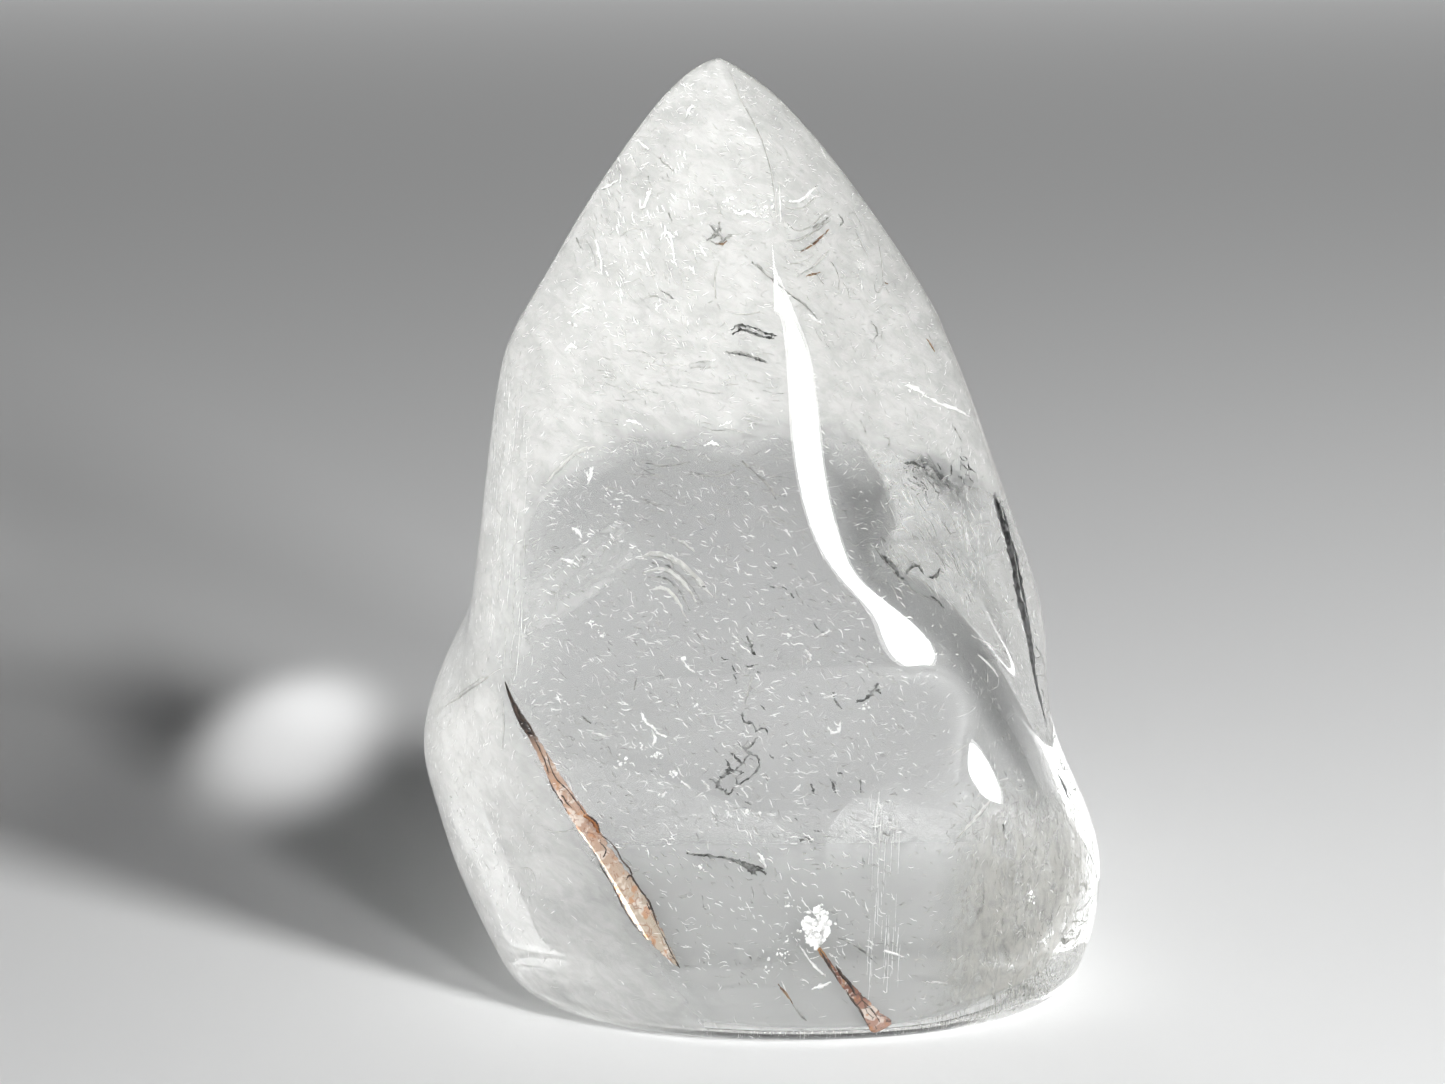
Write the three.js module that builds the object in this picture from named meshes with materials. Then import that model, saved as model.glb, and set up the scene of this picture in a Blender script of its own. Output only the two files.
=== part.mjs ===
// A clear quartz flame: one free-standing stone, ground and polished to a blunt tip over a flat foot.
// Four ridges leave the tip, turn to the right as they run down, and fade out above the foot. Between
// them lie the faces, which are full, flat or hollowed.
// Millimetres, +Z up. Seen from the front, along +Y, +X is to the right. The origin is on the surface
// that the stone stands on, under the middle of its box.

import * as THREE from "three";
import { mergeVertices } from "three/addons/utils/BufferGeometryUtils.js";

const HEIGHT = 93;
const FOOT_EDGE_RADIUS = 3; // the foot's ground edge
const SECTION_FULLNESS = 2.12; // 2 is an ellipse, and more is squarer

// How far the stone reaches from the line that it was laid out on: [height, distance] pairs.
const LEFT_FLANK = [
  [93, -4.1], [92.2, -6.2], [90.6, -8.3], [87.8, -10.9], [83.9, -13.8], [79.5, -16.8], [74.7, -19.7],
  [70.5, -22.2], [67.3, -24.1], [64.8, -25.2], [61.8, -25.9], [57.8, -26.6], [49.7, -27.9], [41.5, -29.8],
  [37.4, -31.0], [33.2, -32.3], [29, -33.4], [25.3, -34.0], [22.4, -33.8], [19.5, -33.0], [13.2, -31.0],
  [7.3, -28.4], [0, -24.6],
];
const RIGHT_FLANK = [
  [93, -4.1], [92.7, -3.2], [91.6, -1.5], [90, 0.8], [87.8, 3.1], [82.3, 7.8], [75.6, 12.6], [67.9, 17.4],
  [59.9, 20.9], [53, 23.4], [46.6, 25.7], [40, 27.9], [34, 29.2], [29, 29.8], [25, 30.7], [20.7, 32.4],
  [15.7, 34.2], [12.4, 34.5], [5.4, 33.6], [0, 31.4],
];
const FRONT_FLANK = [
  [93, 0.4], [90.6, -3.4], [86, -6.8], [78, -10.6], [68, -14.4], [58, -17.6], [48, -20.0], [38, -21.8],
  [28, -22.8], [16, -22.9], [6, -22.3], [0, -21.6],
];
const BACK_FLANK = [
  [93, 0.4], [90.6, 4.2], [86, 7.4], [78, 10.8], [68, 14.2], [58, 17.0], [48, 19.4], [38, 21.2],
  [28, 22.2], [18, 21.2], [10, 18.6], [4, 15.6], [0, 13.4],
];

// The ridges, in the order of their bearings: 0 is the right, 90 the back, 180 the left and 270 the
// front, in degrees. crest is 1 where a ridge is crisp and 2 where it is soft. The face runs from a
// ridge to the next one: hollow is its depth as a share of the radius, and lean is under 1 where the
// deepest line is nearer to the ridge that it starts from, and over 1 where it is nearer to the other.
const RIDGES = [
  // The front ridge, which swings to the right as the lip under the scoop.
  {
    bearing: [[93, -72], [86, -72], [80, -73], [74, -76], [68, -80], [60, -83], [54, -82], [50, -79], [47, -74],
      [44.5, -67], [42, -60], [39, -54], [35, -49], [31, -47], [27, -46], [23, -47], [18, -50], [10, -54],
      [0, -58]],
    crest: [[93, 1], [80, 1], [73, 1.05], [70, 1.5], [66, 2.2], [60, 2.4], [45, 2.5], [36, 2.2], [28, 2], [0, 2]],
    hollow: [[93, 0.2], [80, 0.19], [66, 0.19], [56, 0.19], [47, 0.18], [40, 0.14], [34, 0.1], [28, 0.07],
      [20, 0.03], [12, 0], [0, 0]],
    lean: [[93, 1], [75, 1], [64, 0.95], [52, 0.9], [40, 0.88], [28, 0.9], [0, 1]],
  },
  // The right ridge, which bounds the scoop at the stone's right edge.
  {
    bearing: [[93, 18], [80, 12], [66, 4], [56, 1], [48, 1], [42, 3], [36, 7], [30, 13], [20, 26], [10, 40],
      [0, 48]],
    crest: [[93, 1.1], [70, 1.3], [45, 1.4], [0, 2]],
    hollow: [[93, 0.2], [80, 0.18], [60, 0.2], [46, 0.18], [34, 0.12], [20, 0.05], [0, 0]],
    lean: [[93, 1], [0, 1]],
  },
  // The back ridge.
  {
    bearing: [[93, 108], [80, 106], [66, 106], [56, 110], [48, 120], [42, 134], [36, 150], [30, 166], [24, 176],
      [12, 184], [0, 188]],
    crest: [[93, 1.1], [70, 1.3], [45, 1.6], [30, 1.8], [0, 2]],
    hollow: [[93, 0.2], [80, 0.18], [60, 0.12], [48, 0.07], [36, 0.06], [26, 0.06], [14, 0.05], [0, 0]],
    lean: [[93, 1], [0, 1]],
  },
  // The left ridge, which ends in the lobe low on the left.
  {
    bearing: [[93, 192], [80, 190], [66, 190], [56, 194], [48, 202], [42, 212], [36, 222], [30, 233], [20, 246],
      [10, 254], [0, 258]],
    crest: [[93, 1.1], [70, 1.5], [45, 1.9], [0, 2]],
    hollow: [[93, 0.2], [80, 0.16], [66, 0.1], [54, 0.05], [44, 0.01], [37, 0], [32, 0.012], [26, 0.02],
      [18, 0.018], [10, 0.01], [0, 0]],
    lean: [[93, 1], [80, 1], [68, 1], [58, 1], [50, 1.1], [42, 1.7], [36, 2.6], [30, 3], [20, 3], [10, 2.4],
      [0, 2]],
  },
];

// Low swells and dimples in the polish: the bearing and height of each one's middle, how far it reaches,
// in degrees and millimetres, and how much it adds to the radius, as a share of it.
const SWELLS = [
  { bearing: -38, height: 23.5, reach: [14, 7], rise: 0.062 }, // the shoulder of the foot's right lobe
  { bearing: -63, height: 39, reach: [15, 5], rise: 0.014 }, // the end of the lip
];

const COLUMNS_PER_FACE = 15;
const FLANK_ROWS = 64;
const FOOT_EDGE_ROWS = 4;
const FOOT_FACE_ROWS = 3;
const TIP_CROWDING = 1.3; // above 1, the rows lie closer together towards the tip

// A smooth curve through [place, value] pairs: a natural cubic spline, as a function of the place.
function splineThrough(pairs) {
  const sorted = [...pairs].sort((a, b) => a[0] - b[0]);
  const x = sorted.map((p) => p[0]);
  const y = sorted.map((p) => p[1]);
  const last = x.length - 1;
  const bend = new Array(last + 1).fill(0);
  const upper = new Array(last + 1).fill(0);
  for (let i = 1; i < last; i++) {
    const before = x[i] - x[i - 1];
    const after = x[i + 1] - x[i];
    const pivot = 2 * (before + after) - before * upper[i - 1];
    const turn = 6 * ((y[i + 1] - y[i]) / after - (y[i] - y[i - 1]) / before);
    upper[i] = after / pivot;
    bend[i] = (turn - before * bend[i - 1]) / pivot;
  }
  for (let i = last - 1; i > 0; i--) bend[i] -= upper[i] * bend[i + 1];
  return (place) => {
    let i = 0;
    while (i < last - 1 && place > x[i + 1]) i++;
    const span = x[i + 1] - x[i];
    const b = (place - x[i]) / span;
    const a = 1 - b;
    const curved = ((a ** 3 - a) * bend[i] + (b ** 3 - b) * bend[i + 1]) * (span ** 2 / 6);
    return a * y[i] + b * y[i + 1] + curved;
  };
}

// A value that changes with height. The spline runs over the square root of the depth below the tip,
// in which a rounded tip is a straight line.
function byHeight(pairs) {
  const below = (height) => Math.sqrt(Math.max(0, 1 - height / HEIGHT));
  const spline = splineThrough(pairs.map(([height, value]) => [below(height), value]));
  return (height) => spline(below(height));
}

const left = byHeight(LEFT_FLANK);
const right = byHeight(RIGHT_FLANK);
const front = byHeight(FRONT_FLANK);
const back = byHeight(BACK_FLANK);
const ridges = RIDGES.map((ridge) => ({
  bearing: byHeight(ridge.bearing),
  crest: byHeight(ridge.crest),
  hollow: byHeight(ridge.hollow),
  lean: byHeight(ridge.lean),
}));

// What the swells add to the radius at a bearing, in degrees, and a height.
function swellAt(bearing, height) {
  let rise = 0;
  for (const swell of SWELLS) {
    const turn = THREE.MathUtils.euclideanModulo(bearing - swell.bearing + 180, 360) - 180;
    const across = turn / swell.reach[0];
    const up = (height - swell.height) / swell.reach[1];
    rise += swell.rise * Math.exp(-(across ** 2 + up ** 2));
  }
  return rise;
}

// The outline of the stone at one height, as points that run round it with each ridge on a point of
// its own. The full outline meets the four flanks, and the faces are sunk into it.
function sectionAt(height, inset) {
  const low = new THREE.Vector2(left(height) + inset, front(height) + inset);
  const high = new THREE.Vector2(right(height) - inset, back(height) - inset);
  const middle = low.clone().add(high).divideScalar(2);
  const reach = high.clone().sub(low).divideScalar(2);
  const outline = [];
  ridges.forEach((ridge, k) => {
    const next = ridges[(k + 1) % ridges.length];
    const turn = k === ridges.length - 1 ? 360 : 0;
    const start = ridge.bearing(height);
    const end = next.bearing(height) + turn;
    for (let j = 0; j < COLUMNS_PER_FACE; j++) {
      const along = j / COLUMNS_PER_FACE;
      const bearing = start + along * (end - start);
      const c = Math.cos(THREE.MathUtils.degToRad(bearing));
      const s = Math.sin(THREE.MathUtils.degToRad(bearing));
      const full = (Math.abs(c) ** SECTION_FULLNESS + Math.abs(s) ** SECTION_FULLNESS) ** (-1 / SECTION_FULLNESS);
      const crest = THREE.MathUtils.lerp(ridge.crest(height), next.crest(height), along);
      const sink = Math.sin(Math.PI * along ** ridge.lean(height)) ** crest;
      const radius = full * (1 - Math.max(0, ridge.hollow(height)) * sink + swellAt(bearing, height));
      outline.push(new THREE.Vector2(radius * c, radius * s).multiply(reach).add(middle));
    }
  });
  return outline;
}

// The rows of points, from the tip down the flanks, round the foot's edge and in to the foot's middle.
function stoneRows() {
  const rows = [];
  const flank = HEIGHT - FOOT_EDGE_RADIUS;
  for (let i = 1; i <= FLANK_ROWS; i++) {
    const height = HEIGHT - flank * (i / FLANK_ROWS) ** TIP_CROWDING;
    rows.push({ height, outline: sectionAt(height, 0) });
  }
  for (let i = 1; i <= FOOT_EDGE_ROWS; i++) {
    const angle = (i / FOOT_EDGE_ROWS) * (Math.PI / 2);
    const height = FOOT_EDGE_RADIUS * (1 - Math.sin(angle));
    rows.push({ height, outline: sectionAt(height, FOOT_EDGE_RADIUS * (1 - Math.cos(angle))) });
  }
  const sole = rows[rows.length - 1].outline;
  const middle = new THREE.Box2().setFromPoints(sole).getCenter(new THREE.Vector2());
  for (let i = 1; i < FOOT_FACE_ROWS; i++) {
    const outline = sole.map((point) => point.clone().lerp(middle, i / FOOT_FACE_ROWS));
    rows.push({ height: 0, outline });
  }
  const tip = new THREE.Vector2(left(HEIGHT), front(HEIGHT));
  const columns = sole.length;
  return [
    { height: HEIGHT, outline: new Array(columns).fill(tip) },
    ...rows,
    { height: 0, outline: new Array(columns).fill(middle) },
  ];
}

// A sphere's grid of faces, with each row and column of its points moved to its place on the stone.
function stoneGeometry() {
  const rows = stoneRows();
  const columns = rows[0].outline.length;
  const sphere = new THREE.SphereGeometry(1, columns, rows.length - 1);
  const position = sphere.getAttribute("position");
  rows.forEach(({ height, outline }, row) => {
    for (let column = 0; column <= columns; column++) {
      const point = outline[column % columns];
      position.setXYZ(row * (columns + 1) + column, point.x, point.y, height);
    }
  });
  sphere.deleteAttribute("normal");
  sphere.deleteAttribute("uv");
  const stone = mergeVertices(sphere, 1e-4);
  stone.computeBoundingBox();
  const centre = stone.boundingBox.getCenter(new THREE.Vector3());
  stone.translate(-centre.x, -centre.y, 0);
  stone.computeVertexNormals();
  return stone;
}

const clearQuartz = new THREE.MeshStandardMaterial({ color: 0xe9ebe8, roughness: 0.05, metalness: 0 });

const flame = new THREE.Mesh(stoneGeometry(), clearQuartz);
flame.name = "quartz_flame";

const part = new THREE.Group();
part.name = "clear_quartz_flame";
part.add(flame);

export default part;
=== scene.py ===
"""A clear quartz flame on a pale floor: the polished stone, and what grew inside it.

Metres, +Z up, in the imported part's frame. The stone is seen from the front, along +Y.
"""

import math

import bpy
import numpy as np
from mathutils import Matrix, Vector
from mathutils.bvhtree import BVHTree


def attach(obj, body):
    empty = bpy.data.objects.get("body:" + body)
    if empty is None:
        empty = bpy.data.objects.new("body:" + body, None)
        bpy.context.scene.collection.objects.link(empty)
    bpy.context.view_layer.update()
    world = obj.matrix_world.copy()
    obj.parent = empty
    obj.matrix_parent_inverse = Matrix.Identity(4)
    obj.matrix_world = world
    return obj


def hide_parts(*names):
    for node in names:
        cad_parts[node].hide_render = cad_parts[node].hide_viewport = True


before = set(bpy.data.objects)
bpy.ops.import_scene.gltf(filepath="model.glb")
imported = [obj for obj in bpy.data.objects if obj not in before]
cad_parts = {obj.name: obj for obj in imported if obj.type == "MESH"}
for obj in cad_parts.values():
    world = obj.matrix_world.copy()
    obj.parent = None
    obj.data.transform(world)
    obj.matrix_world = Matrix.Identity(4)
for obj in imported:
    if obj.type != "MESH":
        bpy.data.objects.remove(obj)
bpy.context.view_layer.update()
packed_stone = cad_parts["quartz_flame"]

MM = 0.001

ROOM_TONE = (0.98, 0.99, 1.0)
ROOM_DIM = 0.012
ROOM_WALL = 0.05

# The patch of gathered light on the floor, the fainter one round it, and where their light comes from.
SPOT_PLACE = (-0.0574, 0.075, 0.0)
HALO_PLACE = (-0.1000, 0.085, 0.0)
SPOT_ELEVATION = 24
SPOT_DISTANCE = 0.5

# The photograph's viewpoint.
VIEW_ELEVATION = 15.0
VIEW_DISTANCE = 0.340
VIEW_TARGET = (-0.0040, 0.0, 0.0454)
VIEW_LENS = 85.6
SENSOR_WIDTH = 36.0
PHOTO_SIZE = (1445, 1084)

QUARTZ_IOR = 1.544
STONE_MIDDLE = (0, 0, 0.045)
MIDDLE_PIXEL = 740  # halfway across the stone in the photograph
FLOOR_WIDTH = 8
FLOOR_RISE = 0.02 * MM  # the foot dips this far into the floor, so that no air shows between them

WELD_DISTANCE = 1e-6
TINY = 1e-12

# Ridges sharper than this angle in degrees stay crisp above this height, where they are steep enough.
RIDGE_ANGLE = 18
RIDGE_HEIGHT = 66 * MM
RIDGE_STEEPNESS = 0.4
RIDGE_CREASE = 0.9

# The milk ends below in an arch: its top and middle in millimetres, and how fast it falls to its sides.
ARCH_TOP = 60.0
ARCH_MIDDLE = -2
ARCH_FALL = 0.016


class Value:
    """An output of a node, on which sums can be done."""

    def __init__(self, finish, output):
        self.finish = finish
        self.output = output

    def maths(self, operation, *values):
        return self.finish.node("ShaderNodeMath", {"operation": operation}, dict(enumerate(values)))

    def __add__(self, other):
        return self.maths("ADD", self, other)

    def __radd__(self, other):
        return self.maths("ADD", other, self)

    def __sub__(self, other):
        return self.maths("SUBTRACT", self, other)

    def __rsub__(self, other):
        return self.maths("SUBTRACT", other, self)

    def __mul__(self, other):
        return self.maths("MULTIPLY", self, other)

    def __rmul__(self, other):
        return self.maths("MULTIPLY", other, self)

    def __truediv__(self, other):
        return self.maths("DIVIDE", self, other)

    def between(self, low, high):
        """0 below low, 1 above high, and smooth from one to the other."""
        inputs = {"Value": self, "From Min": low, "From Max": high}
        return self.finish.node("ShaderNodeMapRange", {"interpolation_type": "SMOOTHSTEP"}, inputs)


class Finish:
    """A material or a world, and the nodes that make it."""

    def __init__(self, holder):
        holder.use_nodes = True
        self.holder = holder
        self.tree = holder.node_tree
        self.tree.nodes.clear()

    def node(self, kind, settings=None, inputs=None, output=0):
        made = self.tree.nodes.new(kind)
        for name, value in (settings or {}).items():
            setattr(made, name, value)
        for name, value in (inputs or {}).items():
            if isinstance(value, Value):
                self.tree.links.new(value.output, made.inputs[name])
            else:
                made.inputs[name].default_value = value
        return Value(self, made.outputs[output]) if len(made.outputs) else None

    def colour(self, value):
        return (*value, 1.0)

    def mix(self, share, first, second):
        """first where share is 0, second where it is 1."""
        inputs = {0: share}
        for place, value in ((6, first), (7, second)):
            inputs[place] = value if isinstance(value, Value) else self.colour(value)
        return self.node("ShaderNodeMix", {"data_type": "RGBA"}, inputs, output=2)

    def parts(self, vector):
        """A vector's three parts."""
        split = self.node("ShaderNodeSeparateXYZ", None, {"Vector": vector})
        return [Value(self, output) for output in split.output.node.outputs]

    def place(self, turn=(0, 0, 0), stretch=(1, 1, 1), shift=(0, 0, 0)):
        """The point on the piece, in metres, turned and stretched for a pattern."""
        here = self.node("ShaderNodeTexCoord", output=3)
        turn = tuple(math.radians(a) for a in turn)
        inputs = {"Vector": here, "Rotation": turn, "Scale": stretch, "Location": shift}
        return self.node("ShaderNodeMapping", {"vector_type": "TEXTURE"}, inputs)

    def along(self):
        """The place on the piece's own UV map: across a sheet from 0 to 1, and up it from 0 to 1."""
        return self.parts(self.node("ShaderNodeTexCoord", output=2))[:2]

    def cracks(self, size):
        """How far the nearest border is, between cells about size metres across."""
        inputs = {"Vector": self.place(), "Scale": 1 / size}
        return self.node("ShaderNodeTexVoronoi", {"feature": "DISTANCE_TO_EDGE"}, inputs)

    def noise(self, size, detail=2.0, rough=0.5, place=None, warp=0.0):
        """Soft noise from 0 to 1, whose patches are about size metres across."""
        inputs = {"Vector": place or self.place(), "Scale": 1 / size, "Detail": detail}
        inputs.update({"Roughness": rough, "Distortion": warp})
        return self.node("ShaderNodeTexNoise", None, inputs)

    def surface(self, shader):
        world = isinstance(self.holder, bpy.types.World)
        self.node("ShaderNodeOutputWorld" if world else "ShaderNodeOutputMaterial", None, {"Surface": shader})
        return self.holder


def material(name):
    return Finish(bpy.data.materials.new(name))


# Objects


def put(name, data):
    """A new object in the scene."""
    made = bpy.data.objects.new(name, data)
    bpy.context.scene.collection.objects.link(made)
    return made


def aim(thing, target, azimuth, elevation, distance):
    """Points a thing at a target, from an azimuth right of the front and an elevation, in degrees."""
    a = math.radians(azimuth)
    e = math.radians(elevation)
    away = Vector((math.sin(a) * math.cos(e), -math.cos(a) * math.cos(e), math.sin(e)))
    thing.location = Vector(target) + away * distance
    thing.rotation_mode = "QUATERNION"
    thing.rotation_quaternion = (-away).to_track_quat("-Z", "Y")


def pick(piece):
    """Makes a piece the only selected one."""
    bpy.ops.object.select_all(action="DESELECT")
    piece.select_set(True)
    bpy.context.view_layer.objects.active = piece


def copied(piece, name):
    """A copy of a piece with its own mesh, which is all selected in edit mode."""
    made = piece.copy()
    made.data = piece.data.copy()
    made.name = name
    bpy.context.scene.collection.objects.link(made)
    pick(made)
    bpy.ops.object.mode_set(mode="EDIT")
    bpy.ops.mesh.select_all(action="SELECT")
    return made


def round_off(piece, levels):
    """Smooths the faces and the shading of the picked piece."""
    rounding = piece.modifiers.new("rounding", "SUBSURF")
    rounding.levels = levels
    rounding.render_levels = levels
    bpy.ops.object.modifier_apply(modifier="rounding")
    bpy.ops.object.shade_smooth()


def dress(piece, finish):
    piece.data.materials.clear()
    piece.data.materials.append(finish)


# Stage


def floor_finish():
    f = material("pale_floor")
    grain = f.noise(0.9 * MM)
    bump = f.node("ShaderNodeBump", None, {"Strength": 0.05, "Distance": 0.2 * MM, "Height": grain})
    inputs = {"Base Color": f.colour((0.78, 0.785, 0.785)), "Roughness": 0.7, "Normal": bump}
    return f.surface(f.node("ShaderNodeBsdfPrincipled", None, inputs))


def make_floor():
    bpy.ops.object.select_all(action="DESELECT")
    bpy.ops.mesh.primitive_plane_add(size=FLOOR_WIDTH, location=(0, 0, FLOOR_RISE))
    bpy.ops.object.transform_apply(location=True)
    floor = bpy.context.object
    floor.name = "floor"
    dress(floor, floor_finish())


def make_world():
    """A dim room whose pale walls are brightest low down, at the left and in front."""
    world = bpy.data.worlds.new("room")
    bpy.context.scene.world = world
    f = Finish(world)
    x, y, z = f.parts(f.node("ShaderNodeTexCoord", output=0))
    facing = (-0.85 * x - 0.5 * y).between(-0.5, 0.9)
    wall = (1 - z.between(0.02, 0.40)) * (0.35 + 0.65 * facing)
    inputs = {"Color": f.colour(ROOM_TONE), "Strength": ROOM_DIM + ROOM_WALL * wall}
    f.surface(f.node("ShaderNodeBackground", None, inputs))


def area_light(name, azimuth, elevation, distance, width, height, power, target=STONE_MIDDLE):
    data = bpy.data.lights.new(name, "AREA")
    data.shape = "ELLIPSE"
    data.size = width
    data.size_y = height
    data.energy = power
    light = put(name, data)
    aim(light, target, azimuth, elevation, distance)
    return light


def link_floor(light, state):
    """Makes a light reach the floor alone (INCLUDE), or all but the floor (EXCLUDE)."""
    chosen = bpy.data.collections.new(light.name + "_link")
    chosen.objects.link(bpy.data.objects["floor"])
    chosen.collection_objects[0].light_linking.link_state = state
    light.light_linking.receiver_collection = chosen


def window_light(*measures):
    """A light that shows as a reflection on the stone, and neither on the floor nor through the stone."""
    light = area_light(*measures)
    light.visible_transmission = False
    link_floor(light, "EXCLUDE")


def soft_fill(*measures):
    """A broad light that only brightens the stone: it has no shadow on the floor and no reflection."""
    light = area_light(*measures)
    light.visible_glossy = False
    link_floor(light, "EXCLUDE")


def floor_light(*measures):
    """A light for the floor alone, with the stone's shadow in it."""
    light = area_light(*measures)
    light.visible_glossy = False
    light.visible_transmission = False
    link_floor(light, "INCLUDE")


def bright_spot(name, place, width, power):
    """A patch of light, on the floor alone, that the stone gathers behind its left side."""
    data = bpy.data.lights.new(name, "SPOT")
    data.energy = power
    data.spot_size = math.radians(width)
    data.spot_blend = 1.0
    data.shadow_soft_size = 4 * MM
    light = put(name, data)
    aim(light, place, 180, SPOT_ELEVATION, SPOT_DISTANCE)
    link_floor(light, "INCLUDE")


def make_lights():
    """Each light but the spots has an azimuth and elevation, distance, width, height and power."""
    window_light("window", 50, 13, 1.20, 0.62, 0.70, 22)
    window_light("curtain", 50, 14, 1.22, 0.74, 0.80, 8)
    floor_light("far_window", 50, 14, 1.20, 0.26, 0.26, 13.5)
    floor_light("near_window", 48, 14, 0.50, 0.10, 0.10, 3.0)
    floor_light("second_window", 28, 18, 1.20, 0.20, 0.20, 6.8)
    floor_light("far_glow", 180, 45, 0.55, 2.4, 0.4, 6.4, (0, 1.1, 0))
    soft_fill("right_fill", 50, 42, 1.10, 2.20, 1.80, 30)
    soft_fill("left_fill", -67, 26, 1.10, 2.60, 2.00, 76)
    soft_fill("front_fill", -10, 50, 1.10, 2.00, 1.40, 14)
    bright_spot("gathered_light", SPOT_PLACE, 3.2, 11.5)
    bright_spot("gathered_halo", HALO_PLACE, 6, 1.2)


def make_camera():
    data = bpy.data.cameras.new("camera")
    data.sensor_width = SENSOR_WIDTH
    data.lens = VIEW_LENS
    camera = put("camera", data)
    aim(camera, VIEW_TARGET, 0, VIEW_ELEVATION, VIEW_DISTANCE)
    bpy.context.scene.camera = camera


# The stone


def quartz_finish():
    f = material("clear_quartz")
    waves = f.noise(11 * MM, detail=1)
    bump = f.node("ShaderNodeBump", None, {"Strength": 0.08, "Distance": 0.6 * MM, "Height": waves})
    inputs = {
        "Base Color": f.colour((0.86, 0.865, 0.86)),
        "Roughness": 0.0,
        "IOR": QUARTZ_IOR,
        "Transmission Weight": 1.0,
        "Normal": bump,
    }
    return f.surface(f.node("ShaderNodeBsdfPrincipled", None, inputs))


def crease_ridges(stone):
    """Keeps the ridges crisp where they leave the tip, and lets them soften as they run down."""
    bpy.ops.mesh.select_all(action="DESELECT")
    bpy.ops.mesh.select_mode(type="EDGE")
    bpy.ops.mesh.edges_select_sharp(sharpness=math.radians(RIDGE_ANGLE))
    bpy.ops.object.mode_set(mode="OBJECT")
    points = stone.data.vertices
    for edge in stone.data.edges:
        low, high = sorted((points[i].co for i in edge.vertices), key=lambda p: p.z)
        steep = high.z - low.z > RIDGE_STEEPNESS * (high - low).length
        edge.select = edge.select and steep and low.z > RIDGE_HEIGHT
    bpy.ops.object.mode_set(mode="EDIT")
    bpy.ops.transform.edge_crease(value=RIDGE_CREASE)
    bpy.ops.object.mode_set(mode="OBJECT")


def make_stone():
    stone = copied(packed_stone, "polished_stone")
    bpy.ops.mesh.remove_doubles(threshold=WELD_DISTANCE)
    bpy.ops.mesh.tris_convert_to_quads(face_threshold=math.radians(40), shape_threshold=math.radians(60))
    bpy.ops.mesh.normals_make_consistent(inside=False)
    crease_ridges(stone)
    round_off(stone, 2)
    dress(stone, quartz_finish())
    return stone


# Places in the stone


def tree_of(piece):
    points = [v.co.copy() for v in piece.data.vertices]
    faces = [tuple(p.vertices) for p in piece.data.polygons]
    return BVHTree.FromPolygons(points, faces)


def bent(direction, normal, ratio):
    """A ray's direction after it goes through a surface, where the speeds of light have a ratio."""
    facing = -direction.dot(normal)
    inner = 1 - ratio * ratio * (1 - facing * facing)
    return (direction * ratio + normal * (ratio * facing - math.sqrt(inner))).normalized()


def under(across, down, depth):
    """The place in the stone that shows at a pixel of the photograph, at a depth in millimetres."""
    e = math.radians(VIEW_ELEVATION)
    back = Vector((0, -math.cos(e), math.sin(e)))
    up = Vector((0, math.sin(e), math.cos(e)))
    per_pixel = SENSOR_WIDTH / VIEW_LENS / PHOTO_SIZE[0]
    x = (across - PHOTO_SIZE[0] / 2) * per_pixel
    z = (PHOTO_SIZE[1] / 2 - down) * per_pixel
    sight = (Vector((x, 0, 0)) + up * z - back).normalized()
    met, normal, _, _ = STONE_TREE.ray_cast(Vector(VIEW_TARGET) + back * VIEW_DISTANCE, sight)
    if met is None:
        return under(across + (2 if across < MIDDLE_PIXEL else -2), down, depth)
    inward = bent(sight, normal, 1 / QUARTZ_IOR)
    return met + inward * (depth * MM / -inward.dot(normal))


def with_depths(table):
    """A table's items, each with the depth in millimetres that stands before it."""
    found = []
    for item in table:
        if isinstance(item, tuple):
            found.append((item, depth))
        else:
            depth = item
    return found


def depth_below(point):
    """How far a point lies below the stone's surface, in metres: negative outside."""
    nearest, normal, _, distance = STONE_TREE.find_nearest(point)
    return distance if (nearest - Vector(point)).dot(normal) > 0 else -distance


def unit(vectors):
    return vectors / np.maximum(np.linalg.norm(vectors, axis=1, keepdims=True), TINY)


def skin():
    """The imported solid's faces as arrays: corners, outward normals and areas."""
    points = np.array([v.co[:] for v in packed_stone.data.vertices])
    corners = points[np.array([p.vertices[:] for p in packed_stone.data.polygons])]
    across = np.cross(corners[:, 1] - corners[:, 0], corners[:, 2] - corners[:, 0])
    return corners, unit(across), np.linalg.norm(across, axis=1) / 2


SKIN = skin()


def grown(rng, count, depths, share):
    """Points inside the stone and the outward normals above them. depths makes depths below the surface
    from random numbers, and share says how readily a point is kept."""
    corners, normals, areas = SKIN
    kept, facing = [], []
    while len(kept) < count:
        face = rng.choice(len(areas), p=areas / areas.sum(), size=count)
        u, v = rng.random((2, count))
        u, v = np.where(u + v > 1, 1 - u, u), np.where(u + v > 1, 1 - v, v)
        a, b, c = corners[face].transpose(1, 0, 2)
        spot = a * (1 - u - v)[:, None] + b * u[:, None] + c * v[:, None]
        depth = depths(rng.random(count))
        spot = spot - normals[face] * depth[:, None]
        wanted = share(spot / MM)
        keep = (rng.random(count) < wanted) & (spot[:, 2] > 0.5 * MM)
        for place, normal, deep in zip(spot[keep], normals[face][keep], depth[keep]):
            if depth_below(place) > 0.9 * min(deep, 2 * MM):
                kept.append(place)
                facing.append(normal)
    return np.array(kept[:count]), np.array(facing[:count])


# Shapes of what grew inside


def inside(piece, finish):
    """A piece that grew in the stone has a finish of its own and moves with the stone."""
    dress(piece, finish)
    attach(piece, "root")


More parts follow.
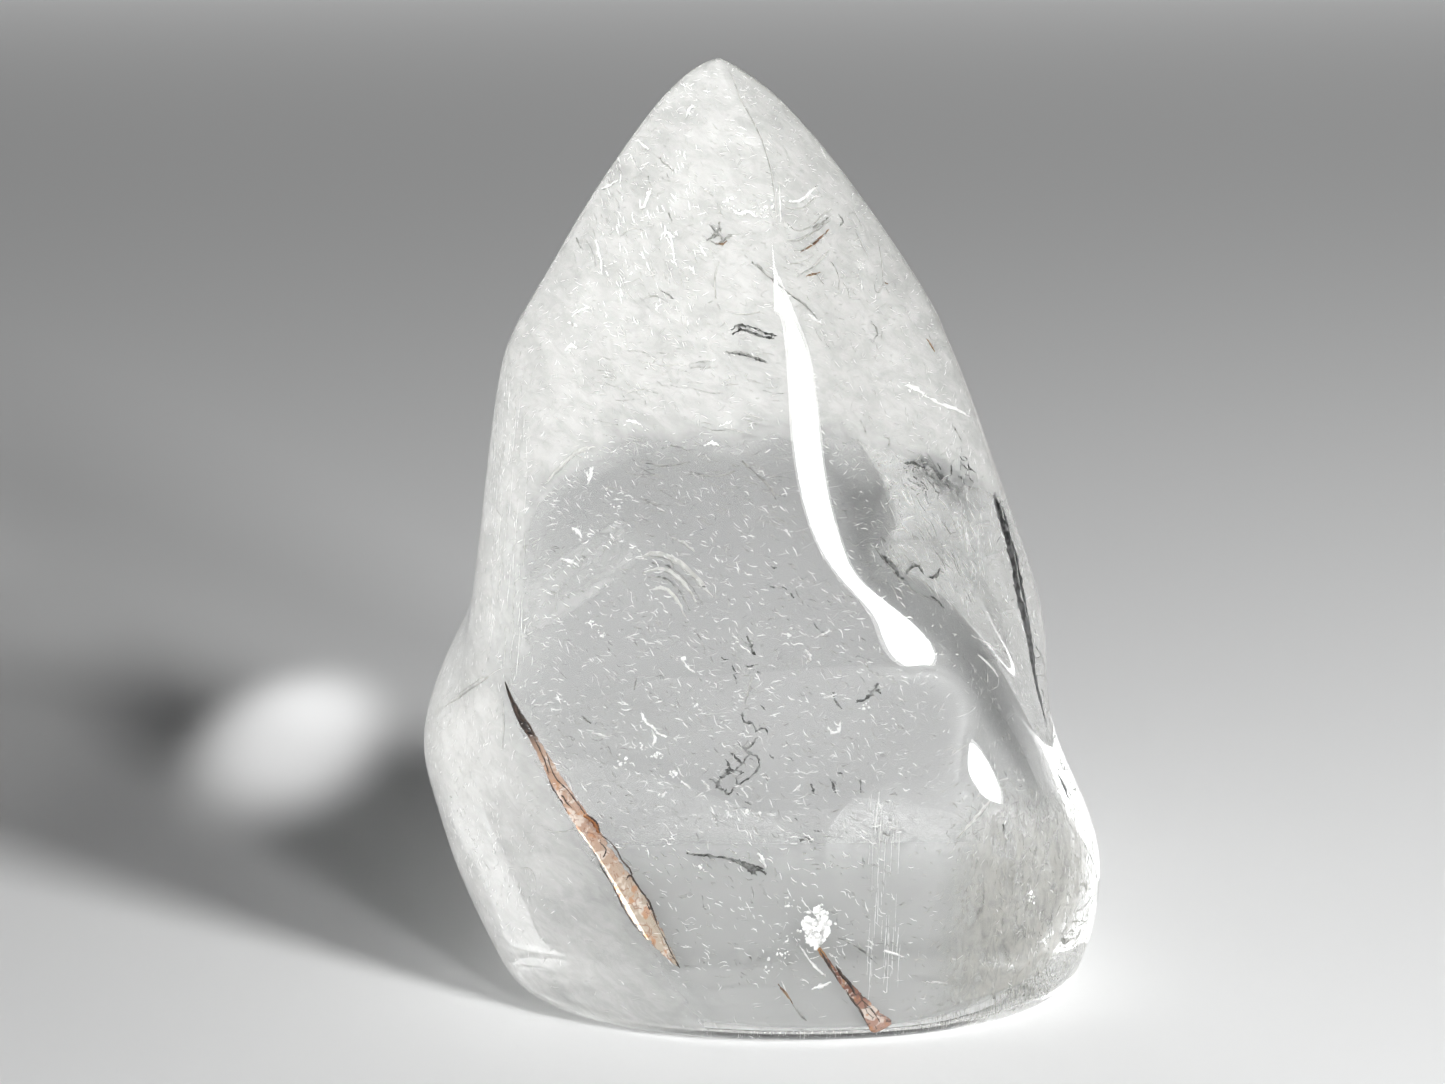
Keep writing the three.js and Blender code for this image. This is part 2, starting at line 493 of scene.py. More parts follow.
def joined(name, placed, faces, finish):
    """One mesh of many copies of a small shape, given the places of each copy's points."""
    per = placed.shape[1]
    all_faces = [tuple(i + per * n for i in face) for n in range(len(placed)) for face in faces]
    mesh = bpy.data.meshes.new(name)
    mesh.from_pydata(placed.reshape(-1, 3).tolist(), [], all_faces)
    inside(put(name, mesh), finish)


CURL_STEPS = np.linspace(-0.5, 0.5, 6)


def curls(name, where, along, facing, lengths, widths, bends, finish):
    """One mesh of thin curled flakes. Each has its length along a direction, and its face turned as given."""
    along = unit(along)[:, None, :]
    across = unit(np.cross(facing[:, None, :], along))
    out = np.cross(along, across)
    t = CURL_STEPS[None, :, None]
    bend = bends[:, None, None]
    way = along * t + across * bend * (4 * t * t - 0.5) + out * 0.3 * bend * t
    middle = where[:, None, :] + lengths[:, None, None] * way
    side = unit(across - along * 4 * bend * t) * widths[:, None, None] * np.sqrt(1.02 - 4 * t * t) / 2
    placed = np.stack([middle - side, middle + side], axis=2).reshape(len(where), -1, 3)
    faces = [(2 * i, 2 * i + 2, 2 * i + 3, 2 * i + 1) for i in range(len(CURL_STEPS) - 1)]
    joined(name, placed, faces, finish)


def sheet(name, rows, finish):
    """A smooth sheet through rows of places, the top row first. U runs along a row."""
    across = len(rows[0]) - 1
    down = len(rows) - 1
    bpy.ops.object.select_all(action="DESELECT")
    bpy.ops.mesh.primitive_grid_add(x_subdivisions=across, y_subdivisions=down, size=1)
    piece = bpy.context.object
    piece.name = name
    for point in piece.data.vertices:
        i = round((point.co.x + 0.5) * across)
        j = round((0.5 - point.co.y) * down)
        point.co = rows[j][i]
    round_off(piece, 3)
    inside(piece, finish)


def ribbon(path, widths, across):
    """Rows for a sheet along a path in the photograph, as wide across it as the widths in millimetres say."""
    across = Vector(across).normalized() * MM
    rows = []
    for (spot, depth), width in zip(with_depths(path), widths):
        middle = under(*spot, depth)
        rows.append([middle - across * width / 2, middle, middle + across * width / 2])
    return rows


def grain():
    """A rough crumb, one across."""
    bpy.ops.object.select_all(action="DESELECT")
    bpy.ops.mesh.primitive_ico_sphere_add(subdivisions=1, radius=0.5)
    shape = bpy.context.object
    points = np.array([v.co[:] for v in shape.data.vertices])
    faces = [tuple(p.vertices) for p in shape.data.polygons]
    bpy.data.objects.remove(shape)
    return points, faces


def grains(name, table, number, spread, smallest, largest, seed, finish):
    """Clusters of crumbs: a number of them round each spot of the photograph, sizes in millimetres."""
    rng = np.random.default_rng(seed)
    points, faces = grain()
    middles = np.array([under(*spot, depth)[:] for spot, depth in with_depths(table)]) / MM
    count = len(middles) * number
    middles = np.repeat(middles, number, axis=0) + rng.normal(0, spread, (count, 3))
    sizes = (smallest + (largest - smallest) * rng.random(count) ** 2)[:, None]
    sizes = sizes * rng.uniform(0.45, 1.0, (count, 3))
    turned = np.linalg.qr(rng.normal(0, 1, (count, 3, 3)))[0]
    lumpy = points[None, :, :] * rng.uniform(0.7, 1.15, (count, len(points), 1)) * sizes[:, None, :]
    placed = (np.einsum("nij,nkj->nki", turned, lumpy) + middles[:, None, :]) * MM
    joined(name, placed, faces, finish)


# Finishes of what grew inside


def ends(value, soft):
    """1 over the middle of a run from 0 to 1, falling to 0 at both its ends."""
    return value.between(0.0, soft) * (1 - value).between(0.0, soft)


def half_clear(f, tone, rough):
    """A surface that lets half of the light on it through."""
    tone = tone if isinstance(tone, Value) else f.colour(tone)
    front = f.node("ShaderNodeBsdfPrincipled", None, {"Base Color": tone, "Roughness": rough})
    through = f.node("ShaderNodeBsdfTranslucent", None, {"Color": tone})
    return f.node("ShaderNodeMixShader", None, {0: 0.5, 1: front, 2: through})


def milky(f, tone, cover):
    """A half clear surface that covers only a share of what is behind it."""
    clear = f.node("ShaderNodeBsdfTransparent")
    inputs = {0: cover, 1: clear, 2: half_clear(f, tone, 0.7)}
    return f.surface(f.node("ShaderNodeMixShader", None, inputs))


def frost_finish(name, pale, dark, share):
    f = material(name)
    patch = f.noise(0.8 * MM, detail=1)
    tone = f.mix(patch.between(share - 0.08, share + 0.08), dark, pale)
    return f.surface(half_clear(f, tone, 0.6))


def plain_finish(name, tone):
    f = material(name)
    inputs = {"Base Color": f.colour(tone), "Roughness": 0.4}
    return f.surface(f.node("ShaderNodeBsdfPrincipled", None, inputs))


def milk_finish():
    """Milk that fills the upper half down to an arch, and the left flank, and thins out in the belly."""
    f = material("milk")
    x, _, z = f.parts(f.place())
    x = x / MM
    z = z / MM
    aside = x - ARCH_MIDDLE

    # Each part of the milk comes in between two borders in millimetres.
    arch = ARCH_TOP - ARCH_FALL * aside * aside + 5 * (f.noise(7 * MM) - 0.5)
    upper = (z - arch).between(-4, 4)
    flank = (-1 * x).between(17, 26) * z.between(30, 40)
    # Painted reflection: the milk over the lower left lobe brightens it in place of the lobe's bright
    # reflection.
    lobe = (0.63 * (35 - z) - 25 - x).between(-4, 6) * (1 - z.between(32, 40))
    foot = x.between(14, 26) * (1 - z.between(16, 30))
    thick = (upper + 0.7 * flank + 0.9 * lobe + 0.35 * foot).between(0, 1)
    amount = 0.09 * z.between(15, 28) + 0.91 * thick

    cloud = f.noise(5 * MM, detail=3, warp=0.4).between(0.30, 0.62)
    combed_place = f.place((0, 35, 0), (1.8, 1, 0.6))
    fibre = f.noise(1.6 * MM, detail=4, rough=0.7, place=combed_place).between(0.38, 0.66)
    cover = amount * (0.50 + 0.10 * cloud + 0.08 * fibre)
    wisp_place = f.place((0, 25, 0), (1.6, 1, 0.7))
    wisps = f.noise(2.2 * MM, detail=6, rough=0.68, place=wisp_place, warp=1.0)
    tone = f.mix(wisps.between(0.36, 0.60), (0.74, 0.74, 0.73), (0.92, 0.92, 0.91))
    return milky(f, tone, cover)


def veil_finish(name, tone, size, thin, thick, strength, turn=(0, 0, 0), stretch=(1, 1, 1),
                soft=0.25, foot=None, side=None):
    """A milky sheet: its cover comes and goes in patches of a size, and fades out at its borders."""
    f = material(name)
    u, v = f.along()
    patches = f.noise(size, detail=5, rough=0.62, place=f.place(turn, stretch), warp=0.6)
    upright = (1 - v).between(0.0, soft) * v.between(0.0, foot or soft)
    cover = patches.between(thin, thick) * ends(u, side or soft) * upright * strength
    return milky(f, tone, cover)


def stain_finish(name, top, middle, low, line, dark_end):
    """Iron stain in a seam: it changes along the seam, with pale lumps between thin brown lines."""
    f = material(name)
    u, v = f.along()
    run = 1 - v
    tone = f.mix(run.between(dark_end, dark_end + 0.12), top, middle)
    tone = f.mix(run.between(0.50, 0.85), tone, low)
    below = run.between(dark_end + 0.05, dark_end + 0.15)
    lump = f.noise(1.2 * MM, warp=0.5)
    tone = f.mix(lump.between(0.50, 0.60) * 0.75 * below, tone, (0.80, 0.73, 0.66))
    rust = f.noise(1.0 * MM, detail=3, place=f.place(shift=(0.01, 0, 0)))
    tone = f.mix(rust.between(0.56, 0.66) * 0.8 * below, tone, (0.52, 0.24, 0.10))
    vein = 1 - f.cracks(1.1 * MM).between(0.01, 0.07)
    specks = f.noise(0.5 * MM)
    tone = f.mix(vein * specks.between(0.44, 0.54) * 0.8 * below, tone, line)
    rim = 1 - ends(u, 0.14)
    tone = f.mix(rim * specks.between(0.40, 0.56) * 0.8 * below, tone, line)
    torn = f.noise(0.6 * MM, detail=3)
    cover = (ends(u, 0.20) - 0.9 * torn.between(0.45, 0.75)).between(0.0, 0.2) * ends(v, 0.02)
    inputs = {"Base Color": tone, "Roughness": 0.6, "Alpha": cover}
    return f.surface(f.node("ShaderNodeBsdfPrincipled", None, inputs))


# Milk and flakes


def milkiness(spot):
    """How milky the stone is at places in millimetres, from 0 to 1: most high up and at the left."""
    x, _, z = spot.T
    arch = ARCH_TOP - ARCH_FALL * (x - ARCH_MIDDLE) ** 2
    upper = 1 / (1 + np.exp(-(z - arch) / 1.8))
    left = np.clip((-x - 18) / 8, 0, 1) * np.clip((z - 2) / 12, 0, 1)
    right = np.clip((x - 18) / 8, 0, 1) * np.clip((28 - z) / 8, 0, 1)
    return np.clip(0.05 + 0.95 * np.maximum(upper, np.maximum(0.6 * left, 0.4 * right)), 0, 1)


def footing(spot):
    """How cloudy the stone is low down at its right side."""
    x, _, z = spot.T
    return np.clip((x - 13) / 14, 0, 1) * np.clip((30 - z) / 14, 0, 1)


def evenly(spot):
    return np.ones(len(spot))


def strokes(name, count, seed, depths, share, slope, longest, widest, finish):
    """Fine flakes that lean down to the right over most of the stone and stand upright at its sides."""
    rng = np.random.default_rng(seed)
    near, far = depths
    where, above = grown(rng, count, lambda r: (near + (far - near) * r ** 2) * MM, share)
    upright = np.clip((np.abs(where[:, 0] / MM + 2) - 17) / 6, 0, 1)  # 0 in the middle, 1 at the sides
    angle = rng.normal(0, 0.55, count) + slope * (1 - upright) + 1.5 * upright
    side = unit(np.cross(np.tile((0.0, 0.0, 1.0), (count, 1)), above))
    up = np.cross(above, side)
    along = side * np.cos(angle)[:, None] + up * np.sin(angle)[:, None]
    along = along + above * rng.normal(0, 0.25, count)[:, None]
    facing = unit(above + rng.normal(0, 0.7, (count, 3)))
    lengths = rng.uniform(0.3, 1.0, count) * longest * MM
    widths = rng.uniform(0.4, 1.0, count) * widest * MM
    curls(name, where, along, facing, lengths, widths, rng.normal(0, 0.05, count), finish)


MILK_CENTRE = (-1.5 * MM, 0, 60 * MM)
MILK_LAYERS = (0.975, 0.78)

# The nearest and the farthest flakes below the surface, in millimetres.
NEAR_SURFACE = (0.2, 0.7)
IN_MILK = (0.4, 9.4)
IN_FOOT = (0.15, 2.0)
ALL_THROUGH = (0.4, 12.4)


def make_milk():
    """Layers of the stone's own shape, one inside the other, so that it is milky from every side."""
    layers = []
    for share in MILK_LAYERS:
        layers.append(copied(stone, "milk"))
        bpy.ops.mesh.unsubdivide(iterations=2)
        bpy.ops.transform.resize(value=(share, share, share), center_override=MILK_CENTRE)
        bpy.ops.object.mode_set(mode="OBJECT")
    for layer in layers:
        layer.select_set(True)
    bpy.context.view_layer.objects.active = layers[0]
    bpy.ops.object.join()
    inside(layers[0], milk_finish())


def make_frost():
    pale = frost_finish("pale_flake", (0.985, 0.985, 0.975), (0.84, 0.84, 0.83), 0.40)
    strokes("pale_flakes", 7000, 7, IN_MILK, milkiness, -0.4, 0.9, 0.20, pale)
    strokes("outer_flakes", 7000, 17, NEAR_SURFACE, milkiness, -0.25, 0.9, 0.18, pale)
    shade = frost_finish("shade_flake", (0.74, 0.74, 0.72), (0.58, 0.58, 0.56), 0.45)
    strokes("shade_flakes", 4500, 19, NEAR_SURFACE, milkiness, -0.25, 1.1, 0.11, shade)
    cloudy = frost_finish("cloudy_flake", (0.60, 0.59, 0.555), (0.36, 0.355, 0.33), 0.45)
    strokes("foot_flakes", 4500, 23, IN_FOOT, footing, 0.0, 0.9, 0.16, cloudy)
    bright = frost_finish("bright_flake", (0.98, 0.98, 0.97), (0.6, 0.6, 0.6), 0.3)
    strokes("bright_needles", 4200, 11, ALL_THROUGH, evenly, -0.5, 0.8, 0.11, bright)
    grey = frost_finish("grey_flake", (0.5, 0.51, 0.51), (0.25, 0.25, 0.25), 0.45)
    strokes("grey_needles", 4200, 13, ALL_THROUGH, evenly, -0.4, 0.9, 0.09, grey)


# Veils in the milk

# Rows of pixels of the photograph. A number alone is the depth in millimetres of the pixels after it.
SLANT_VEIL = [
    [2, (527, 650), 3.5, (590, 605), 4.5, (652, 560)],
    [6, (520, 618), 8, (580, 575), 9, (640, 532)],
    [10, (515, 585), 13, (572, 545), 14, (628, 505)],
]
ARCH_VEIL = [
    [4, (546, 508), 5, (570, 463), 6, (612, 443), (695, 440), 5, (782, 447)],
    [4, (543, 450), 6, (575, 415), 7, (618, 398), (695, 395), 5, (778, 405)],
    [4, (545, 395), 6, (582, 365), 7, (625, 350), (695, 345), 5, (768, 360)],
]
# Painted reflection: a white sheet over the left lobe paints the lobe's bright reflection.
LOBE_REFLECTION_VEIL = [
    [0.8, (432, 722), 1.5, (466, 692), 2, (503, 668)],
    [1.5, (440, 765), 3, (474, 750), 4, (508, 725)],
    [2, (458, 815), 4, (490, 812), 5, (520, 800)],
]
EDGE_VEIL = [
    [1.5, (512, 350), 3, (525, 350), 4, (545, 350)],
    [1.5, (497, 450), 3, (512, 450), 4, (535, 450)],
    [1.5, (492, 550), 3, (508, 550), 4, (530, 550)],
    [1.5, (478, 650), 3, (497, 655), 4, (525, 660)],
]
FOOT_VEIL = [
    [0.4, (965, 770), (1005, 772), (1040, 776), (1062, 782), 4, (1070, 786)],
    [0.4, (945, 830), (998, 830), (1046, 830), (1078, 830), 4, (1086, 830)],
    [0.4, (935, 900), (990, 900), (1045, 898), (1082, 893), 4, (1092, 890)],
    [0.4, (925, 960), (985, 958), (1030, 950), (1062, 938), 4, (1078, 930)],
    [0.4, (915, 1018), (960, 1008), (1000, 996), (1030, 982), 4, (1046, 970)],
]
# Painted shade: a grey haze sheet laid over the shade that the sole shows, painting that shade softer.
SOLE_SHADE_HAZE = [
    [2, (540, 800), (680, 800), (800, 800), (930, 800), (1040, 800)],
    [2, (545, 880), (685, 880), (800, 880), (930, 880), (1050, 870)],
    [2, (560, 965), (690, 975), (800, 976), (930, 973), (1040, 950)],
    [0.8, (585, 998), (700, 1024), (800, 1032), (910, 1028), (1020, 993)],
]
FIBRE_VEIL = [
    [5, (872, 790), 5.5, (886, 790), 5, (902, 790)],
    [5, (868, 890), 5.5, (884, 890), 5, (900, 890)],
    [3, (866, 990), 3.5, (880, 992), 3, (896, 988)],
]
# Painted shade: a dark sheet under the scoop's upper right paints the dark arc of surroundings seen through
# the stone there.
DARK_ARC_SHADE = [
    [0.3, (885, 444), (920, 442), (955, 450), (984, 472), (1000, 506)],
    [0.3, (896, 464), (924, 462), (950, 474), (970, 492), (984, 520)],
    [0.3, (905, 490), (922, 492), (940, 502), (954, 516), (966, 536)],
]
COLUMN_VEIL = [
    [6, (738, 615), 6.5, (750, 612), 6, (762, 617)],
    [6.5, (736, 660), 7, (750, 660), 6.5, (764, 660)],
    [6, (740, 708), 6.5, (752, 712), 6, (762, 706)],
]

WHITE = (0.97, 0.97, 0.96)
CLOUDY = (0.62, 0.61, 0.575)
SOLE_SHADE_TONE = (0.56, 0.565, 0.56)
ARC_SHADE_TONE = (0.11, 0.115, 0.115)


def veil(name, rows, *patches, **borders):
    """A sheet through places of the photograph, with a finish of the same name."""
    places = [[under(*spot, depth) for spot, depth in with_depths(row)] for row in rows]
    sheet(name, places, veil_finish(name, *patches, **borders))


def make_veils():
    veil("slant_veil", SLANT_VEIL, WHITE, 5 * MM, 0.30, 0.60, 0.35, soft=0.12)
    veil("arch_veil", ARCH_VEIL, WHITE, 3 * MM, 0.38, 0.60, 0.6, stretch=(0.5, 1, 1.6))
    veil("lobe_reflection_veil", LOBE_REFLECTION_VEIL, WHITE, 4 * MM, 0.15, 0.45, 0.9, soft=0.12)
    veil("edge_veil", EDGE_VEIL, WHITE, 2.5 * MM, 0.42, 0.60, 0.6, stretch=(0.4, 1, 3))
    low_down = {"stretch": (0.7, 1, 1.4), "soft": 0.35, "foot": 0.05, "side": 0.28}
    veil("foot_veil", FOOT_VEIL, CLOUDY, 1.6 * MM, 0.22, 0.62, 0.85, **low_down)
    veil("sole_shade_haze", SOLE_SHADE_HAZE, SOLE_SHADE_TONE, 4 * MM, 0.05, 0.35, 0.9, soft=0.40, foot=0.04, side=0.15)
    veil("fibre_veil", FIBRE_VEIL, WHITE, 2 * MM, 0.44, 0.60, 0.5, stretch=(0.25, 1, 4))
    slanted = {"turn": (0, 40, 0), "stretch": (1.6, 1, 0.7), "soft": 0.45}
    # Painted shade: the dark arc where the scoop shows dark surroundings.
    veil("dark_arc_shade", DARK_ARC_SHADE, ARC_SHADE_TONE, 1.1 * MM, 0.32, 0.58, 0.95, **slanted)
    veil("column_veil", COLUMN_VEIL, WHITE, 3 * MM, 0.30, 0.60, 0.3, soft=0.4)


# Threads

# Each has a width in millimetres, and the pixels that it passes. A number alone is the depth in millimetres
# of the threads after it.
RIDGE_SHADE_AND_ARCS = [
    0.3,
    # Painted shade: the first thread is the thin grey line of the crisp ridge crease from the tip; the others
    # are marks in the stone.
    (0.17, (727, 66), (735, 82), (741, 100), (751, 117), (760, 135), (767, 155), (772, 175), (777, 222)),
    (0.17, (784, 207), (795, 209), (806, 206), (816, 197)),
    (0.16, (786, 222), (796, 230), (806, 229), (816, 222), (826, 212), (833, 210)),
    (0.22, (787, 240), (798, 240), (808, 235), (818, 229), (830, 220)),
    (0.15, (789, 248), (800, 250), (812, 243), (824, 235)),
    (0.15, (790, 264), (802, 262), (814, 256)),
    (0.24, (800, 275), (812, 268), (822, 258), (829, 251)),
    (0.15, (855, 230), (861, 242), (868, 256)),
    (0.22, (878, 240), (882, 262), (883, 282)),
    (0.16, (852, 206), (857, 216), (862, 226)),
    (0.15, (874, 282), (877, 292), (882, 287), (886, 280)),
    (0.15, (842, 280), (848, 290), (850, 300)),
    (0.15, (832, 262), (839, 277), (838, 292)),
    (0.22, (719, 262), (715, 278), (716, 299)),
    (0.13, (728, 312), (745, 314), (760, 312)),
    (0.13, (700, 186), (708, 192), (714, 197)),
    (0.12, (620, 236), (634, 228), (644, 232)),
    (0.14, (586, 240), (592, 252), (596, 266)),
    (0.14, (640, 300), (655, 296), (668, 302)),
    0.4,
    (0.14, (640, 362), (665, 366), (692, 360)),
    (0.12, (622, 395), (640, 390), (655, 388)),
    (0.14, (724, 427), (738, 431), (752, 434)),
    (0.16, (744, 412), (754, 416), (764, 419)),
    0.5,
    (0.12, (503, 700), (504, 725), (502, 748)),
    (0.1, (544, 830), (560, 832), (576, 829)),
    (0.1, (522, 868), (531, 870), (535, 880), (535, 893)),
    0.4,
    (0.12, (862, 400), (870, 414), (876, 430)),
    (0.12, (925, 425), (930, 436), (928, 448)),
]
GREY_THREADS_AND_EDGE_SHADE = [
    0.3,
    (0.2, (752, 262), (765, 273), (780, 286), (795, 297), (806, 306), (818, 320)),
    (0.2, (660, 158), (666, 164), (673, 171)),
    (0.25, (648, 176), (650, 186)),
    (0.2, (576, 238), (580, 248)),
    (0.2, (668, 212), (672, 222)),
    (0.22, (710, 224), (716, 232), (722, 240)),
    (0.2, (706, 240), (714, 236), (722, 228)),
    (0.2, (712, 242), (718, 244), (726, 238), (732, 234)),
    (0.16, (720, 222), (718, 230), (712, 236)),
    (0.22, (812, 228), (820, 225), (828, 218)),
    (0.22, (838, 214), (843, 220), (840, 226)),
    (0.18, (661, 291), (668, 294), (673, 299)),
    (0.22, (726, 352), (738, 353), (750, 356), (764, 361)),
    (0.2, (872, 322), (878, 332), (873, 340)),
    0.4,
    (0.25, (858, 418), (864, 426), (866, 434)),
    (0.25, (884, 436), (890, 440), (886, 446)),
    (0.2, (952, 425), (958, 434), (962, 442)),
    0.5,
    (0.22, (662, 448), (675, 446), (690, 452)),
    (0.2, (640, 462), (665, 466), (690, 462)),
    0.6,
    (0.25, (742, 460), (752, 470), (768, 486), (776, 500)),
    (0.2, (690, 472), (715, 476), (735, 472)),
    2.0,
    (0.1, (652, 563), (672, 568), (690, 585), (703, 604)),
    (0.1, (648, 578), (664, 578), (680, 592), (690, 610)),
    (0.22, (745, 702), (749, 690), (752, 676)),
    1.5,
    (0.16, (838, 938), (852, 944), (866, 953), (873, 961)),
    (0.45, (978, 888), (985, 900), (979, 915), (985, 930), (980, 946)),
    1.0,
    (0.14, (1003, 850), (1005, 872), (1004, 900)),
    (0.14, (1009, 856), (1010, 876), (1009, 898)),
    (0.16, (1014, 862), (1013, 884), (1012, 906)),
    (0.14, (997, 866), (999, 880), (998, 896)),
    (0.3, (793, 1005), (800, 1013), (807, 1021)),
    (0.22, (986, 978), (991, 989), (995, 999)),
    0.6,
    # Painted shade: a grey line along the sharp inner edge of the highlight band, where the scoop begins.
    (0.12, (873, 545), (886, 562), (903, 583), (920, 594), (938, 602)),
    0.4,
    # Painted shade: wavy grey lines along the dark rim of the right edge.
    (0.16, (1042, 690), (1050, 716), (1056, 742), (1062, 768)),
    (0.16, (1036, 646), (1046, 676), (1052, 704), (1060, 738)),
    2.5,
    (0.16, (582, 716), (586, 720), (591, 723)),
    (0.16, (636, 680), (634, 690)),
    (0.18, (872, 826), (882, 832), (890, 836)),
]
DARK_THREADS = [
    0.3,
    (0.13, (731, 330), (737, 326), (746, 326), (756, 329), (766, 333), (776, 336)),
    (0.16, (732, 334), (742, 330), (752, 333), (764, 337), (774, 338)),
    (0.1, (738, 328), (748, 331), (760, 334)),
    (0.1, (728, 353), (740, 354), (754, 358), (766, 362)),
    0.4,
    (0.35, (905, 464), (912, 462), (920, 466)),
    2.5,
    (0.16, (687, 854), (700, 855), (716, 857), (735, 860), (748, 864)),
    (0.55, (733, 860), (744, 864), (754, 868), (764, 868)),
    (0.35, (742, 863), (750, 870), (756, 875)),
    (0.28, (752, 865), (760, 870), (767, 874)),
    (0.12, (709, 779), (716, 783), (718, 788), (724, 790), (729, 794), (733, 788)),
    (0.12, (733, 788), (742, 782), (752, 775), (760, 767)),
    (0.16, (718, 778), (728, 774), (737, 768), (745, 760), (750, 752)),
    (0.12, (738, 742), (745, 748), (752, 745), (756, 738)),
    (0.16, (742, 712), (744, 721), (751, 723), (757, 731)),
    (0.16, (716, 788), (722, 776), (733, 770), (742, 772)),
    (0.12, (748, 740), (744, 750), (756, 756), (760, 766)),
    (0.14, (730, 752), (736, 758), (742, 764)),
    (0.14, (726, 760), (730, 768), (726, 776)),
    (0.14, (756, 732), (764, 728), (768, 734)),
    (0.14, (738, 786), (736, 778), (744, 772)),
    (0.35, (747, 636), (751, 646), (754, 655)),
    (0.25, (832, 693), (836, 702), (841, 708)),
    (0.3, (856, 702), (866, 699), (873, 691), (878, 684)),
    (0.25, (874, 686), (880, 694)),
    (0.35, (811, 785), (814, 792)),
    (0.22, (830, 778), (833, 786), (836, 793)),
    (0.18, (860, 780), (861, 792)),
    (0.25, (800, 841), (806, 838), (812, 842)),
    0.7,
    (0.5, (880, 555), (886, 560), (893, 566), (898, 575), (904, 579)),
    (0.35, (906, 574), (911, 567), (918, 566), (923, 573)),
    (0.3, (929, 578), (936, 576), (940, 569)),
    (0.25, (930, 596), (938, 601), (944, 608)),
    0.5,
    (0.18, (1003, 824), (1004, 832)),
]
# Painted shade: dark lines along the right edge paint the dark rim where the edge shows dark surroundings.
RIGHT_EDGE_SHADE = [
    0.6,
    (1.0, (994, 492), (999, 510), (1005, 530), (1012, 555), (1016, 580), (1021, 605)),
    (0.9, (1016, 585), (1022, 608), (1028, 632), (1032, 658), (1038, 688)),
    (0.6, (1034, 676), (1040, 700), (1046, 722)),
    0.4,
    (0.3, (1000, 500), (1008, 528), (1017, 560), (1023, 592), (1030, 626)),
    0.6,
    (0.9, (1058, 774), (1064, 786), (1068, 798)),
]
RUST_THREADS = [
    0.3,
    (0.22, (800, 252), (811, 246), (820, 238), (829, 230)),
    (0.2, (806, 276), (814, 274), (820, 272)),
    (0.2, (716, 243), (722, 244), (727, 241)),
    (0.18, (884, 282), (888, 284)),
    (0.25, (927, 339), (931, 345), (935, 352)),
    1.0,
    (0.28, (778, 984), (786, 994), (793, 1004)),
]
WHITE_THREADS_AND_HIGHLIGHT = [
    0.35,
    (0.4, (733, 210), (740, 214), (748, 212), (756, 217)),
    (0.35, (783, 201), (794, 202), (803, 199), (810, 192), (817, 186)),
    (0.22, (806, 204), (813, 198), (822, 196)),
    0.3,
    (0.24, (779, 184), (780, 203), (781, 222)),
    0.35,
    (0.3, (600, 190), (608, 186), (618, 180)),
    (0.28, (640, 200), (642, 208), (648, 196), (652, 188)),
    (0.26, (660, 240), (666, 232), (672, 244), (674, 258)),
    (0.3, (637, 138), (644, 146), (650, 150)),
    (0.35, (686, 118), (690, 108), (697, 106)),
    (0.35, (820, 146), (823, 153), (826, 158)),
    (0.38, (700, 244), (703, 252), (708, 257)),
    (0.26, (596, 240), (600, 256), (602, 274)),
    (0.3, (861, 280), (862, 290)),
    (0.45, (841, 271), (845, 276)),
    (0.4, (808, 314), (814, 318), (822, 324)),
    0.4,
    (0.6, (566, 350), (572, 346), (577, 348)),
    (0.45, (584, 342), (592, 340)),
    (0.4, (568, 322), (577, 326)),
    (0.3, (572, 316), (582, 310), (590, 307)),
    (0.35, (626, 420), (636, 422), (643, 427)),
    (0.4, (704, 446), (712, 443), (720, 446)),
    (0.24, (720, 426), (727, 423), (733, 420)),
    0.6,
    (0.4, (588, 484), (591, 474), (593, 464)),
    (0.35, (584, 470), (589, 478)),
    1.2,
    (0.3, (620, 486), (623, 494)),
    1.0,
    (0.35, (560, 559), (570, 561), (579, 566)),
    (0.4, (572, 528), (578, 532), (581, 538)),
    2.0,
    (0.3, (641, 712), (646, 722), (653, 728), (659, 734), (666, 737)),
    (0.3, (652, 730), (655, 738), (653, 744)),
    (0.22, (683, 660), (688, 668), (695, 672)),
    (0.4, (681, 781), (690, 788)),
    (0.4, (702, 780), (709, 789)),
    (0.4, (763, 777), (770, 779)),
    (0.3, (742, 788), (748, 798)),
    (0.24, (725, 800), (732, 807)),
    (0.24, (805, 649), (811, 657), (806, 663)),
    (0.18, (815, 638), (822, 634), (831, 631)),
    (0.26, (828, 728), (833, 733), (839, 730), (840, 722)),
    (0.5, (794, 791), (800, 785)),
    (0.4, (757, 853), (763, 860), (766, 869)),
    (0.24, (592, 733), (602, 735), (612, 736)),
    1.0,
    (0.45, (812, 989), (822, 986), (831, 982)),
    1.5,
    (0.3, (884, 951), (893, 953), (906, 958)),
    (0.24, (952, 959), (966, 960), (980, 961)),
    1.0,
    (0.3, (1002, 905), (998, 918), (988, 931)),
    (0.2, (798, 944), (808, 958), (820, 972), (826, 976)),
    (0.14, (802, 900), (812, 912), (822, 920)),
    (0.18, (922, 982), (936, 982), (950, 984)),
    0.4,
    (0.35, (978, 655), (984, 660), (992, 668), (998, 676)),
    (0.18, (972, 636), (985, 642), (996, 650)),
    # Painted highlight: the thin bright streak across the scoop.
    (0.5, (902, 384), (914, 388), (926, 396)),
    (0.4, (922, 394), (938, 403), (955, 409), (970, 417)),
    (0.3, (1060, 758), (1063, 770)),
    0.5,
    (0.35, (496, 655), (501, 660)),
]
